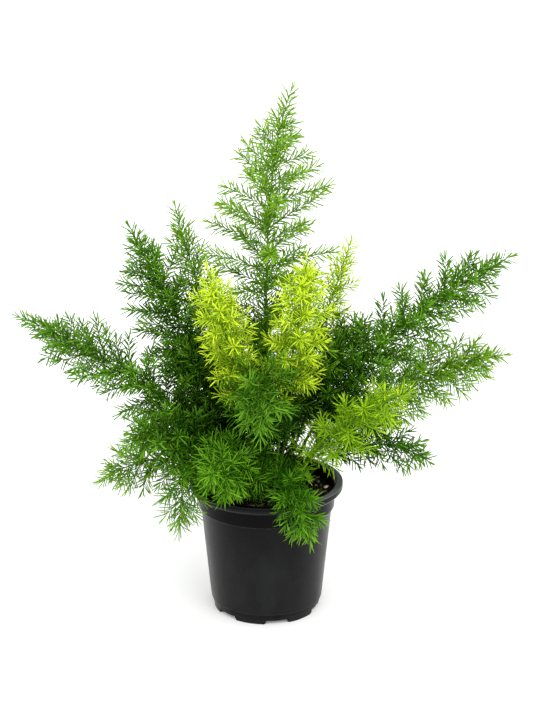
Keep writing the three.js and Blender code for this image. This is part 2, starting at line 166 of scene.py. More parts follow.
def colour(name, description, default):
    return FloatVectorProperty(
        name=name, description=description, default=default, subtype="COLOR", size=3, min=0.0, max=1.0
    )


def plain_number(name, description, default, **more):
    return FloatProperty(name=name, description=description, default=default, min=0.0, **more)


def length(name, description, default):
    return plain_number(name, description, default, unit="LENGTH", subtype="DISTANCE", precision=4)


def angle(name, description, degrees):
    return plain_number(name, description, math.radians(degrees), subtype="ANGLE")


def share(name, description, default):
    return plain_number(name, description, default, max=1.0, subtype="FACTOR")


class FernPotSettings(bpy.types.PropertyGroup):
    """Sizes and finish of the moulded pot."""

    lip_radius: length("Lip Radius", "Outside radius of the turned-down lip", POT_HIGH.x)
    height: length("Height", "Height of the pot over its lip", POT_HIGH.z)
    wall: length("Wall", "Thickness of the moulded wall", 0.0015)
    lip_drop: length("Lip Drop", "How far the lip's skirt hangs below its top", 0.0082)
    rim_width: length("Rim Width", "Width of the lip's flat top", 0.0062)
    rim_slope: length("Rim Slope", "Height over which the wall leans out to that flat top", 0.004)
    collar_radius: length("Collar Radius", "Outside radius of the collar under the lip", 0.0723)
    collar_height: length("Collar Height", "Height of the step from body to collar", 0.116)
    body_radius: length("Body Radius", "Outside radius of the body, just under the collar", 0.0697)
    body_foot_radius: length("Body Foot Radius", "Outside radius of the body, over the foot ring", 0.0593)
    foot_radius: length("Foot Radius", "Outside radius of the foot ring", 0.056)
    notch_width: length("Notch Width", "Width of each drain cut in the foot ring", 0.026)
    notch_height: length("Notch Height", "Height of each drain cut in the foot ring", 0.004)
    plastic: colour("Plastic", "Colour of the moulded plastic", (0.0012, 0.0012, 0.0013))
    # the scuff colour also paints the highlights along the edges and on the lip's top
    scuff_and_highlight: colour("Scuffs", "Colour of its worn and dusty places", (0.029, 0.03, 0.03))
    roughness: share("Roughness", "Roughness of the moulded plastic", 0.32)


class FernMixSettings(bpy.types.PropertyGroup):
    """The potting mix, what lies on it, and the pebble."""

    level: length("Level", "Height of the mix's surface above the ground", 0.128)
    relief: length("Relief", "Height of its humps and hollows", 0.0016)
    chip_length: length("Chip Length", "Length of the longest scattered flakes of bark", 0.011)
    chip_density: plain_number("Chip Density", "Flakes of bark for each square metre", 24000.0)
    crumb_density: plain_number("Crumb Density", "Crumbs for each square metre", 90000.0)
    seed: IntProperty(name="Seed", description="Start of the random scatter", default=5)
    mix: colour("Mix", "Colour of the moist mix", (0.0045, 0.0033, 0.0022))
    bark: colour("Bark", "Colour of the lighter flakes of bark", (0.2, 0.12, 0.055))
    straw: colour("Straw", "Colour of dry leaf bits", (0.42, 0.37, 0.16))
    pebble: colour("Pebble", "Colour of the pebble", (0.86, 0.74, 0.5))


class FernFoliageSettings(bpy.types.PropertyGroup):
    """How the fronds grow, and their colours."""

    stem_radius: length("Stem Radius", "Radius of a stem where it leaves the mix", 0.0019)
    stem_tip_radius: length("Stem Tip Radius", "Radius of a stem at its tip", 0.0004)
    branch_radius: length("Branch Radius", "Radius of a side branch at the stem", 0.0004)
    branch_spacing: length("Branch Spacing", "From one side branch to the next, along the stem", 0.0049)
    branch_angle: angle("Branch Angle", "Between the stem and its lowest side branches", 68)
    tip_branch_angle: angle("Tip Branch Angle", "Between the stem and its highest side branches", 40)
    branch_droop: share("Branch Droop", "Mean sag of a side branch, as a share of its length", 0.06)
    node_spacing: length("Node Spacing", "From one tuft of needles to the next", 0.0027)
    needles: IntProperty(name="Needles", description="Needles in each tuft", default=3, min=1)
    tip_needles: IntProperty(name="Tip Needles", description="Needles in the last tuft", default=3, min=1)
    needle_length: length("Needle Length", "Length of a full needle", 0.0145)
    needle_width: length("Needle Width", "Width of a full needle", 0.0017)
    needle_lean: angle("Needle Lean", "Between a side branch and its needles", 50)
    seed: IntProperty(name="Seed", description="Start of the random growth", default=11)
    stem: colour("Stem", "Colour of stems and side branches", (0.08, 0.22, 0.015))
    deep: colour("Deep Green", "Colour of the old fronds' needles", (0.014, 0.085, 0.001))
    deep_tip: colour("Deep Green Tips", "Colour of the old fronds' newest needles", (0.135, 0.34, 0.018))
    mid: colour("Mid Green", "Colour of the grown fronds' needles", (0.07, 0.24, 0.004))
    mid_tip: colour("Mid Green Tips", "Colour of the grown fronds' newest needles", (0.25, 0.48, 0.03))
    fresh: colour("Fresh Green", "Colour of the front fronds' needles", (0.028, 0.15, 0.003))
    fresh_tip: colour("Fresh Green Tips", "Colour of the front fronds' newest needles", (0.2, 0.48, 0.02))
    lime: colour("Lime", "Colour of the young fronds' needles", (0.25, 0.5, 0.012))
    lime_tip: colour("Lime Tips", "Colour of the young fronds' newest needles", (0.72, 0.92, 0.04))


class FernStageSettings(bpy.types.PropertyGroup):
    """Floor, light and camera."""

    floor: colour("Floor", "Colour of the floor", (0.93, 0.93, 0.93))
    floor_glow: plain_number("Floor Glow", "Light that the floor gives off", 0.1)
    sky: plain_number("Sky", "Strength of the light from all round", 1.28)
    key: plain_number("Key", "Strength of the large soft light", 1.4)
    key_size: angle("Key Size", "How wide the large soft light is, as seen from the plant", 55)
    distance: length("Distance", "From the pot's middle to the camera, over the floor", 1.85)
    eye_height: length("Eye Height", "Height of the camera", 0.876)
    tilt: angle("Tilt", "How far the camera looks down", 17.9)
    lens: plain_number("Lens", "Focal length, in millimetres", 94.5)


# ---- Node trees ----


class Field:
    """An output of a node. Arithmetic on it adds Math nodes to its tree."""

    def __init__(self, tree, socket):
        self.tree = tree
        self.socket = socket

    def also(self, output):
        """Another output of the same node."""
        return Field(self.tree, self.socket.node.outputs[output])

    def __add__(self, other):
        return self.tree.maths("ADD", self, other)

    def __sub__(self, other):
        return self.tree.maths("SUBTRACT", self, other)

    def __rsub__(self, other):
        return self.tree.maths("SUBTRACT", other, self)

    def __mul__(self, other):
        return self.tree.maths("MULTIPLY", self, other)

    def __truediv__(self, other):
        return self.tree.maths("DIVIDE", self, other)

    def __pow__(self, other):
        return self.tree.maths("POWER", self, other)

    def __lt__(self, other):
        return self.tree.maths("LESS_THAN", self, other)

    def __gt__(self, other):
        return self.tree.maths("GREATER_THAN", self, other)


class Tree:
    """Adds nodes to a node tree, set and linked in one call each."""

    def __init__(self, nodes):
        self.nodes = nodes

    def add(self, kind, inputs=None, out=0, **settings):
        """A new node's output. Inputs are named, or numbered where names repeat."""
        node = self.nodes.nodes.new(kind)
        for name, value in settings.items():
            setattr(node, name, value)
        for key, value in (inputs or {}).items():
            self.feed(node.inputs[key], value)
        return Field(self, node.outputs[out]) if node.outputs else node

    def feed(self, socket, value):
        for each in value if isinstance(value, list) else [value]:
            if isinstance(each, Field):
                self.nodes.links.new(each.socket, socket)
            else:
                socket.default_value = each

    def maths(self, operation, first, second=0.0):
        return self.add("ShaderNodeMath", {0: first, 1: second}, operation=operation)

    def sine(self, value):
        return self.maths("SINE", value)

    def blend(self, factor, first, second):
        """From the first number to the second, by a factor."""
        return self.add("ShaderNodeMix", {0: factor, 2: first, 3: second})

    def blend_colours(self, factor, first, second):
        inputs = {0: factor, 6: opaque(first), 7: opaque(second)}
        return self.add("ShaderNodeMix", inputs, out=2, data_type="RGBA")

    def between(self, value, low, high):
        """0 below low, 1 above high, and even between them."""
        return self.add("ShaderNodeMapRange", {"Value": value, "From Min": low, "From Max": high})

    def vector(self, x=0.0, y=0.0, z=0.0):
        return self.add("ShaderNodeCombineXYZ", {"X": x, "Y": y, "Z": z})

    def split(self, vector):
        x = self.add("ShaderNodeSeparateXYZ", {"Vector": vector})
        return x, x.also("Y"), x.also("Z")


def opaque(value):
    """A colour as a node's colour socket takes it."""
    return value if isinstance(value, Field) else (*value, 1.0)


SOCKETS = {
    "geometry": ("NodeSocketGeometry", None),
    "distance": ("NodeSocketFloat", "DISTANCE"),
    "angle": ("NodeSocketFloat", "ANGLE"),
    "factor": ("NodeSocketFloat", "FACTOR"),
    "number": ("NodeSocketFloat", None),
    "count": ("NodeSocketInt", None),
    "place": ("NodeSocketVector", "TRANSLATION"),
    "material": ("NodeSocketMaterial", None),
}


class GrowthTree(Tree):
    """A Geometry Nodes tree with named inputs, each given as its name and its kind in SOCKETS."""

    def __init__(self, name, kinds):
        super().__init__(bpy.data.node_groups.new(name, "GeometryNodeTree"))
        self.nodes.is_modifier = True
        for label, kind in {"Geometry": "geometry", **kinds}.items():
            socket_type, subtype = SOCKETS[kind]
            socket = self.nodes.interface.new_socket(label, in_out="INPUT", socket_type=socket_type)
            if subtype:
                socket.subtype = subtype
        self.nodes.interface.new_socket("Geometry", in_out="OUTPUT", socket_type="NodeSocketGeometry")
        self.group = self.add("NodeGroupInput")

    def given(self, label):
        return self.group.also(label)

    def draw(self, low, high, number, salt=0.0):
        """A random number for each element, drawn by its number. Each use has a salt of its own."""
        seed = self.given("Seed") + salt
        inputs = {2: low, 3: high, "ID": number, "Seed": seed}
        return self.add("FunctionNodeRandomValue", inputs, out=1, data_type="FLOAT")

    def varied(self, what, number):
        """A random number for each element, in a range of VARIATION."""
        low, high, salt = VARIATION[what]
        return self.draw(low, high, number, salt)

    def number(self):
        return self.add("GeometryNodeInputIndex")

    def place(self):
        return self.add("GeometryNodeInputPosition")

    def keep(self, geometry, **fields):
        """Captures fields on a geometry's points. Gives it back, followed by each captured field."""
        node = self.nodes.nodes.new("GeometryNodeCaptureAttribute")
        self.feed(node.inputs[0], geometry)
        for label, (kind, field) in fields.items():
            node.capture_items.new(kind, label)
            self.feed(node.inputs[label], field)
        return [Field(self, node.outputs[0])] + [Field(self, node.outputs[label]) for label in fields]

    def store(self, geometry, name, value, domain="POINT"):
        inputs = {"Geometry": geometry, "Name": name, "Value": value}
        return self.add("GeometryNodeStoreNamedAttribute", inputs, data_type="FLOAT", domain=domain)

    def join(self, *geometries):
        return self.add("GeometryNodeJoinGeometry", {"Geometry": list(geometries)})

    def turned_to(self, direction, *turns):
        """The rotation that points Z along a direction, then turns about its own axes by (axis, angle)."""
        rotation = self.add("FunctionNodeAlignRotationToVector", {"Vector": direction}, axis="Z")
        for axis, amount in turns:
            turn = self.add("FunctionNodeAxisAngleToRotation", {"Axis": axis, "Angle": amount})
            inputs = {"Rotation": rotation, "Rotate By": turn}
            rotation = self.add("FunctionNodeRotateRotation", inputs, rotation_space="LOCAL")
        return rotation

    def finish(self, geometry):
        """Ends the tree, as plain meshes in the material that it is given."""
        smooth = self.add("GeometryNodeSetShadeSmooth", {"Geometry": geometry})
        real = self.add("GeometryNodeRealizeInstances", {"Geometry": smooth})
        dressed = self.add("GeometryNodeSetMaterial", {"Geometry": real, "Material": self.given("Material")})
        self.add("NodeGroupOutput", {"Geometry": dressed})
        return self.nodes


X_AXIS = (1.0, 0.0, 0.0)
Y_AXIS = (0.0, 1.0, 0.0)
Z_AXIS = (0.0, 0.0, 1.0)


def linked(name, data):
    """A new object in the scene, at the origin."""
    made = bpy.data.objects.new(name, data)
    bpy.context.scene.collection.objects.link(made)
    return made


def applied(piece, modifier):
    """Makes the modifier's result the piece's plain mesh."""
    evaluated = piece.evaluated_get(bpy.context.evaluated_depsgraph_get())
    piece.data = bpy.data.meshes.new_from_object(evaluated)
    piece.modifiers.remove(modifier)


def grown(name, base, tree, values):
    """The object that a Geometry Nodes tree makes of a base mesh, with the result as its plain mesh."""
    piece = linked(name, base)
    modifier = piece.modifiers.new("Growth", "NODES")
    modifier.node_group = tree
    for socket in tree.interface.items_tree:
        if socket.item_type == "SOCKET" and socket.in_out == "INPUT" and socket.name in values:
            modifier[socket.identifier] = values[socket.name]
    applied(piece, modifier)
    piece.data.name = name
    return piece


# ---- Growth of a frond ----

FROND_SOCKETS = {
    "Root": "place",
    "Risen": "place",
    "Knee": "place",
    "Tip": "place",
    "Stem Radius": "distance",
    "Stem Tip Radius": "distance",
    "Bare": "factor",
    "Taper": "number",
    "Reach": "distance",
    "Branch Radius": "distance",
    "Branch Spacing": "distance",
    "Branch Angle": "angle",
    "Tip Branch Angle": "angle",
    "Branch Droop": "factor",
    "Node Spacing": "distance",
    "Needles": "count",
    "Tip Needles": "count",
    "Needle Length": "distance",
    "Needle Width": "distance",
    "Needle Lean": "angle",
    "Youth": "number",
    "Seed": "count",
    "Material": "material",
}
GOLDEN_ANGLE = math.radians(137.5)
LEADER_SHARE = 0.05  # the end of a stem that has needles but no side branches
LOWEST_REACH = 0.2  # where on a half wave, which a frond's outline follows, its lowest branch is
POINTED_SHARE = 0.25  # the end of a stem where side branches get shorter evenly
STEM_POINTS = 48
STEM_SIDES = 8
BRANCH_POINTS = 7
BRANCH_SIDES = 4
BRANCH_TAPER = 0.55  # share of its radius that a side branch loses on its way out
BRANCH_FOOT = 0.003  # length of a side branch that has no needles, next to the stem
NEEDLE_POINTS = 4
NEEDLE_SIDES = 3
NEEDLE_BLUNTNESS = 0.6  # a lower one keeps a needle thick nearer to its ends
NEEDLE_THICKNESS = 0.7  # share of a needle's width
NEEDLE_BELLY = 0.7  # a higher one keeps a needle wide for more of its length
NEEDLE_BEND = 0.8  # how far a needle's middle bulges, in needle widths
WELD = 0.001  # below which a needle's end points are made one, as a share of its length
NODE_TURN = 1.0  # from one tuft to the next, round the branch
TIP_FAN = 0.5  # how wide the last tuft opens, beside its one straight needle
TIP_SHORTER = 0.1  # how much shorter the last tuft's needles are
NEW_OUTWARDS = 0.6  # how much of a needle's newness comes from its place on the branch, not the stem
STEM_WOOD = 1.0  # how much of the stem's colour a stem has
TWIG_WOOD = 0.35  # and a side branch, beside its needles' colour
TWIG_NEWNESS = 0.7
RIM_ROOM = 0.002  # kept clear between needles and the pot
INSIDE_RADIUS = 0.069  # within the pot's wall
MIX_ROOM = 0.131  # just over the mix

# What varies from one element to the next: the lowest and highest value, and the salt of its draw.
VARIATION = {
    "branch reach": (0.82, 1.08, 1),
    "branch lean": (-0.14, 0.14, 2),
    "branch roll": (-0.3, 0.3, 3),
    "sway along x": (-0.12, 0.12, 4),
    "sway along y": (-0.12, 0.12, 5),
    "sag": (-2.0, 0.0, 6),
    "needle roll": (-0.35, 0.35, 7),
    "needle lean": (-0.2, 0.2, 9),
    "needle length": (0.8, 1.1, 10),
    "needle twist": (-0.9, 0.9, 11),
    "tint": (-1.0, 1.0, 12),
}


def rod(tree, curve, radius, sides):
    """A round rod along a curve."""
    circle = tree.add("GeometryNodeCurvePrimitiveCircle", {"Resolution": sides, "Radius": 1.0})
    inputs = {"Curve": curve, "Profile Curve": circle, "Scale": radius, "Fill Caps": True}
    return tree.add("GeometryNodeCurveToMesh", inputs)


def needle_shape(tree):
    """A slightly bent needle, pointed at both ends, one unit long and wide, with the way along it stored."""
    line = tree.add("GeometryNodeCurvePrimitiveLine", {"End": Z_AXIS})
    curve = tree.add("GeometryNodeResampleCurve", {"Curve": line, "Count": NEEDLE_POINTS})
    curve, share = tree.keep(curve, share=("FLOAT", tree.add("GeometryNodeSplineParameter")))
    along = share + tree.sine(share * math.pi) * NEEDLE_BELLY * (share - 0.5)
    curve, along = tree.keep(curve, along=("FLOAT", along))
    curve = tree.add("GeometryNodeSetPosition", {"Geometry": curve, "Position": tree.vector(z=along)})
    radius = tree.sine(share * math.pi) ** NEEDLE_BLUNTNESS * 0.5
    needle = rod(tree, curve, radius, NEEDLE_SIDES)
    needle = tree.add("GeometryNodeMergeByDistance", {"Geometry": needle, "Distance": WELD})
    bend = tree.vector(y=tree.sine(along * math.pi) * NEEDLE_BEND)
    needle = tree.add("GeometryNodeSetPosition", {"Geometry": needle, "Offset": bend})
    return tree.store(needle, "along", along)


def side_branches(tree, stem, age):
    """Curves that stand round the stem by the golden angle, longest below its middle."""
    inputs = {"Curve": stem, "Length": tree.given("Branch Spacing")}
    points = tree.add("GeometryNodeCurveToPoints", inputs, mode="LENGTH")
    tangent = points.also("Tangent")
    number = tree.number()
    wave = tree.sine((age * (1 - LOWEST_REACH) + LOWEST_REACH) * math.pi)
    point = tree.between(1.0 - age, 0.0, POINTED_SHARE)
    reach = tree.given("Reach") * wave ** tree.given("Taper") * point * tree.varied("branch reach", number)
    lean = tree.blend(age, tree.given("Branch Angle"), tree.given("Tip Branch Angle"))
    lean = lean + tree.varied("branch lean", number)
    roll = number * GOLDEN_ANGLE + tree.varied("branch roll", number)
    rotation = tree.turned_to(tangent, (Z_AXIS, roll), (X_AXIS, lean))
    line = tree.add("GeometryNodeCurvePrimitiveLine", {"End": Z_AXIS})
    line = tree.add("GeometryNodeResampleCurve", {"Curve": line, "Count": BRANCH_POINTS})
    points, reach, number = tree.keep(points, reach=("FLOAT", reach), number=("INT", number))
    size = tree.vector(reach, reach, reach)
    inputs = {"Points": points, "Instance": line, "Rotation": rotation, "Scale": size}
    curves = tree.add("GeometryNodeInstanceOnPoints", inputs)
    curves = tree.add("GeometryNodeRealizeInstances", {"Geometry": curves})
    out = tree.add("GeometryNodeSplineParameter")
    bend = out * out * reach
    sag = tree.vector(
        bend * tree.varied("sway along x", number),
        bend * tree.varied("sway along y", number),
        bend * tree.varied("sag", number) * tree.given("Branch Droop"),
    )
    return tree.add("GeometryNodeSetPosition", {"Geometry": curves, "Offset": sag})


def clear_of_pot(tree, points, tip):
    """Drops the needles whose tips would be in the pot's wall or in the mix."""
    x, y, height = tree.split(tip)
    away = (x * x + y * y) ** 0.5
    low = height < POT_HIGH.z + RIM_ROOM
    near = away < POT_HIGH.x + RIM_ROOM
    inside = away < INSIDE_RADIUS
    over_mix = height > MIX_ROOM
    blocked = low * near * (1.0 - inside * over_mix)
    inputs = {"Geometry": points, "Selection": blocked}
    return tree.add("GeometryNodeDeleteGeometry", inputs, domain="POINT")


def needles(tree, curves, age):
    """Tufts of needles round each curve, with a narrower tuft at its end."""
    inputs = {"Curve": curves, "Length": tree.given("Node Spacing")}
    curves = tree.add("GeometryNodeResampleCurve", inputs, mode="LENGTH")
    parameter = tree.add("GeometryNodeSplineParameter")
    last = tree.add("GeometryNodeCurveEndpointSelection", {"Start Size": 0, "End Size": 1})
    curves, out, run, last = tree.keep(
        curves, out=("FLOAT", parameter), run=("FLOAT", parameter.also("Length")), last=("FLOAT", last)
    )
    points = tree.add("GeometryNodeCurveToPoints", {"Curve": curves}, mode="EVALUATED")
    points, tangent, node = tree.keep(
        points, tangent=("VECTOR", points.also("Tangent")), node=("INT", tree.number())
    )
    amount = tree.blend(last, tree.given("Needles"), tree.given("Tip Needles"))
    inputs = {"Geometry": points, "Selection": run > BRANCH_FOOT, "Amount": amount}
    copies = tree.add("GeometryNodeDuplicateElements", inputs, domain="POINT")
    turn = copies.also("Duplicate Index")
    number = tree.number()
    roll = turn / amount * math.tau + node * NODE_TURN + tree.varied("needle roll", number)
    spread = tree.blend(last, 1.0, tree.maths("MINIMUM", turn, TIP_FAN))
    lean = tree.given("Needle Lean") * spread + tree.varied("needle lean", number)
    size = tree.given("Needle Length") * tree.varied("needle length", number) * (1.0 - last * TIP_SHORTER)
    twist = tree.varied("needle twist", number)
    rotation = tree.turned_to(tangent, (Z_AXIS, roll), (X_AXIS, lean), (Z_AXIS, twist))
    place = tree.place()
    reachout = tree.add("FunctionNodeRotateVector", {"Vector": tree.vector(z=size), "Rotation": rotation})
    tip = tree.add("ShaderNodeVectorMath", {0: place, 1: reachout}, operation="ADD")
    copies, rotation, size, tip, number = tree.keep(
        copies,
        rotation=("ROTATION", rotation),
        size=("FLOAT", size),
        tip=("VECTOR", tip),
        number=("INT", number),
    )
    copies = clear_of_pot(tree, copies, tip)
    width = tree.given("Needle Width")
    inputs = {
        "Points": copies,
        "Instance": needle_shape(tree),
        "Rotation": rotation,
        "Scale": tree.vector(width, width * NEEDLE_THICKNESS, size),
    }
    tufts = tree.add("GeometryNodeInstanceOnPoints", inputs)
    newness = tree.blend(NEW_OUTWARDS, age, out) + tree.given("Youth")
    tufts = tree.store(tufts, "age", newness, "INSTANCE")
    return tree.store(tufts, "tint", tree.varied("tint", number), "INSTANCE")


def frond_tree():
    """Geometry Nodes for one frond: a stem on its line, side branches round it, and needles on them."""
    tree = GrowthTree("fern_frond", FROND_SOCKETS)
    line = {
        "Resolution": STEM_POINTS,
        "Start": tree.given("Root"),
        "Start Handle": tree.given("Risen"),
        "End Handle": tree.given("Knee"),
        "End": tree.given("Tip"),
    }
    stem = tree.add("GeometryNodeCurvePrimitiveBezierSegment", line, mode="POSITION")
    stem = tree.add("GeometryNodeResampleCurve", {"Curve": stem, "Count": STEM_POINTS})
    up = tree.add("GeometryNodeSplineParameter")
    bare = tree.given("Bare")
    stem, up, age = tree.keep(stem, up=("FLOAT", up), age=("FLOAT", tree.between(up, bare, 1.0)))
    stem_radius = tree.blend(up, tree.given("Stem Radius"), tree.given("Stem Tip Radius"))
    wood = rod(tree, stem, stem_radius, STEM_SIDES)

    leafy = tree.add("GeometryNodeTrimCurve", {"Curve": stem, 2: bare, 3: 1.0}, mode="FACTOR")
    ends = {"Curve": leafy, 2: 0.0, 3: 1.0 - LEADER_SHARE}
    forked = tree.add("GeometryNodeTrimCurve", ends, mode="FACTOR")
    branches = side_branches(tree, forked, age)
    out = tree.add("GeometryNodeSplineParameter")
    branch_radius = tree.given("Branch Radius") * (1.0 - out * BRANCH_TAPER)
    twigs = rod(tree, branches, branch_radius, BRANCH_SIDES)
    tufts = needles(tree, tree.join(branches, leafy), age)
    wood = tree.store(wood, "wood", STEM_WOOD)
    twigs = tree.store(twigs, "wood", TWIG_WOOD)
    twigs = tree.store(twigs, "age", TWIG_NEWNESS)
    return tree.finish(tree.join(wood, twigs, tufts))


# ---- Materials ----


class Finish(Tree):
    """A material's nodes, round its one Principled shader."""

    def __init__(self, name, roughness, specular=0.5):
        self.material = bpy.data.materials.new(name)
        self.material.use_nodes = True
        super().__init__(self.material.node_tree)
        self.shader = self.nodes.nodes["Principled BSDF"]
        self.shader.inputs["Roughness"].default_value = roughness
        self.shader.inputs["Specular IOR Level"].default_value = specular

    def set(self, socket, value):
        self.feed(self.shader.inputs[socket], value)

    def attribute(self, name):
        return self.add("ShaderNodeAttribute", out="Fac", attribute_type="GEOMETRY", attribute_name=name)

    def place(self, scale=(1.0, 1.0, 1.0)):
        """Object coordinates, stretched by a scale."""
        spot = self.add("ShaderNodeTexCoord", out="Object")
        return self.add("ShaderNodeMapping", {"Vector": spot, "Scale": scale})

    def cloud(self, scale, detail, stretch=(1.0, 1.0, 1.0)):
        """A soft pattern, with more spots to the metre for a higher scale."""
        inputs = {"Vector": self.place(stretch), "Scale": scale, "Detail": detail}
        return self.add("ShaderNodeTexNoise", inputs)

    def bump(self, height, distance):
        inputs = {"Height": height, "Distance": distance}
        self.set("Normal", self.add("ShaderNodeBump", inputs, out="Normal"))


def scaled(paint, amount):
    """A colour made darker or lighter, by the same factor for its red, green and blue."""
    return tuple(amount * part for part in paint)


CROWN_HEIGHT = 0.193  # of the plant's middle, where needles and stems get painted shade
CROWN_REACH = 0.15  # how far from there the painted shade ends
CROWN_CORE = 0.05  # and how near it is full
CROWN_SQUASH = 0.8  # how much a step up counts, beside a step out
NEEDLE_SHEEN = 0.03
POINT_NEWNESS = 0.22  # how much newer a needle's point looks than its foot
TINT_NEWNESS = 0.28  # and a needle of the highest tint than one of the middle tint
PAINTED_SHADE_AGEING = 0.3  # and how much older a needle looks in the full painted shade
OLD_TO_NEW = (0.2, 1.15)  # newness of the old colour and of the new one
SHADED = 0.4  # what is left of the old colour in the shade
PAINTED_SHADE_DEPTH = 0.55  # how far a needle is darkened in the full painted shade
TINT_SHADE = 0.42  # and by the lowest tint
SHADED_TINTS = (0.2, -1.0)  # where that tint's shade starts, and where it is full
WOOD_SHADE = 0.8  # how far a stem is darkened in the full painted shade


def foliage_finish(name, old, new, stem, painted_shade_share):
    """Waxy needles: older ones deeper in colour, each a little different, and paler to its point, with
    painted shade on needles and stems in the plant's middle.
    """
    finish = Finish(name, roughness=0.5, specular=NEEDLE_SHEEN)
    age = finish.attribute("age")
    tint = finish.attribute("tint")
    along = finish.attribute("along")
    x, y, z = finish.split(finish.place())
    rise = (z - CROWN_HEIGHT) * CROWN_SQUASH
    away = (x * x + y * y + rise * rise) ** 0.5
    # painted shade: needles and stems get darker towards the plant's middle
    painted_shade = finish.between(away, CROWN_REACH, CROWN_CORE) * painted_shade_share
    newness = age + along * POINT_NEWNESS + tint * TINT_NEWNESS - painted_shade * PAINTED_SHADE_AGEING
    green = finish.blend_colours(finish.between(newness, *OLD_TO_NEW), old, new)
    dark = scaled(old, SHADED)
    shade = painted_shade * PAINTED_SHADE_DEPTH + finish.between(tint, *SHADED_TINTS) * TINT_SHADE
    shaded = finish.blend_colours(shade, green, dark)
    wood = finish.blend_colours(painted_shade * WOOD_SHADE, stem, dark)
    finish.set("Base Color", finish.blend_colours(finish.attribute("wood"), shaded, wood))
    return finish.material


BODY_GLOSS = 0.11
LIP_SHADED_GLOSS = 0.058  # lower gloss of the lip and the collar under it, which paints a darker reflection on the lip and shade under it
DUST_OF_CLOUDS = 0.55
DUST_OF_STREAKS = 0.45
DUST_FROM_TO = (0.46, 0.78)  # where in its pattern dust starts, and where it is full
HAZE_FROM_TO = (0.65, 0.45)
FULL_DUST_BELOW = 0.4  # share of the pot's height, from its foot, that is hazy and dusty all over; above it haze and dust thin out to none at the top, so the plastic darkens upward
DUST_COVER = 0.3
HAZE_COVER = 0.1
# edges are lightened partly by wear and partly by a painted highlight
EDGE_WEAR_AND_HIGHLIGHT = 0.8
DUST_ROUGHER = 0.2
CLEAN_SMOOTHER = 0.05
LIP_TOP = (0.0014, 0.0003)  # under the lip's top: where the painted highlight starts, and where it is full
LIT_SIDE_FROM_TO = (0.02, 0.06)  # towards +X, where the painted highlight starts and where it is full
HIGHLIGHT_LIGHTER = 4.0  # how much lighter the painted highlight is than the scuffs


def pot_finish(settings, name, gloss):
    """Satin moulded plastic with haze and dust that thin out towards the top, scuffs and a painted highlight
    along its edges, and a painted highlight on the +X side of its lip's top.
    """
    finish = Finish(name, settings.roughness, specular=gloss)
    clouds = finish.cloud(scale=26.0, detail=4.0)
    streaks = finish.cloud(scale=55.0, detail=5.0, stretch=(1.0, 1.0, 0.18))
    x, _, z = finish.split(finish.place())
    # haze and dust thin out towards the top, so the plastic gets darker higher up
    lower_down = finish.between(z, settings.height, FULL_DUST_BELOW * settings.height)
    dust = finish.between(clouds * DUST_OF_CLOUDS + streaks * DUST_OF_STREAKS, *DUST_FROM_TO) * lower_down
    haze = finish.between(finish.cloud(scale=16.0, detail=2.0), *HAZE_FROM_TO) * lower_down
    # dust and haze are real; the edge term is partly wear and partly a painted highlight
    wear_and_highlight = dust * DUST_COVER + haze * HAZE_COVER + finish.attribute("edge") * EDGE_WEAR_AND_HIGHLIGHT
    scuffed_and_highlit = finish.blend_colours(wear_and_highlight, settings.plastic, settings.scuff_and_highlight)
    on_top = finish.between(z, settings.height - LIP_TOP[0], settings.height - LIP_TOP[1])
    # painted highlight on the +X side of the lip's top
    lit_side = on_top * finish.between(x, *LIT_SIDE_FROM_TO)
    highlight_paint = scaled(settings.scuff_and_highlight, HIGHLIGHT_LIGHTER)
    finish.set("Base Color", finish.blend_colours(lit_side, scuffed_and_highlit, highlight_paint))
    clean = settings.roughness - CLEAN_SMOOTHER
    finish.set("Roughness", finish.blend(dust, clean, settings.roughness + DUST_ROUGHER))
    finish.bump(finish.cloud(scale=900.0, detail=2.0), distance=0.00008)
    return finish.material


def mix_finish(name, settings):
    """Moist potting mix: near black, with browner grains and straw-coloured bits of dry leaf."""
    finish = Finish(name, roughness=0.85, specular=0.25)
    grains = finish.cloud(scale=420.0, detail=4.0)
    tint = finish.attribute("tint")
    brown = finish.between(grains * 0.5 + tint * 0.6, low=0.6, high=1.0)
    barky = finish.blend_colours(brown, settings.mix, settings.bark)
    straw = finish.between(tint, low=0.9, high=0.96)
    finish.set("Base Color", finish.blend_colours(straw, barky, settings.straw))
    finish.bump(grains, distance=0.0006)
    return finish.material


SPECK_COVER = 0.6
SPECK_SHADE = 0.45


def pebble_finish(settings):
    """A smooth cream stone with darker specks."""
    finish = Finish("cream_pebble", roughness=0.6)
    specks = finish.between(finish.cloud(scale=900.0, detail=5.0), low=0.52, high=0.7)
    dark = scaled(settings.pebble, SPECK_SHADE)
    finish.set("Base Color", finish.blend_colours(specks * SPECK_COVER, settings.pebble, dark))
    finish.bump(finish.cloud(scale=1400.0, detail=3.0), distance=0.0001)
    return finish.material


# ---- Meshes ----


def mesh_of(name, made):
    """A mesh of finished bmesh data, which is used up."""
    mesh = bpy.data.meshes.new(name)
    made.to_mesh(mesh)
    made.free()
    return mesh


ROUNDING_STEPS = 4
MOST_ROUNDED = 0.45  # share of a side that the rounding of one corner may take


def rounded(outline):
    """An outline of (radius, height, rounding) points with its corners rounded off."""
    points = []
    for i, (radius, height, rounding) in enumerate(outline):
        corner = Vector((radius, height))
        if not rounding or i in (0, len(outline) - 1):
            points.append(corner)
            continue
        before = Vector(outline[i - 1][:2]) - corner
        after = Vector(outline[i + 1][:2]) - corner
        start = corner + before.normalized() * min(rounding, before.length * MOST_ROUNDED)
        end = corner + after.normalized() * min(rounding, after.length * MOST_ROUNDED)
        for step in range(ROUNDING_STEPS + 1):
            t = step / ROUNDING_STEPS
            points.append(start * (1 - t) ** 2 + corner * 2 * t * (1 - t) + end * t**2)
    return points


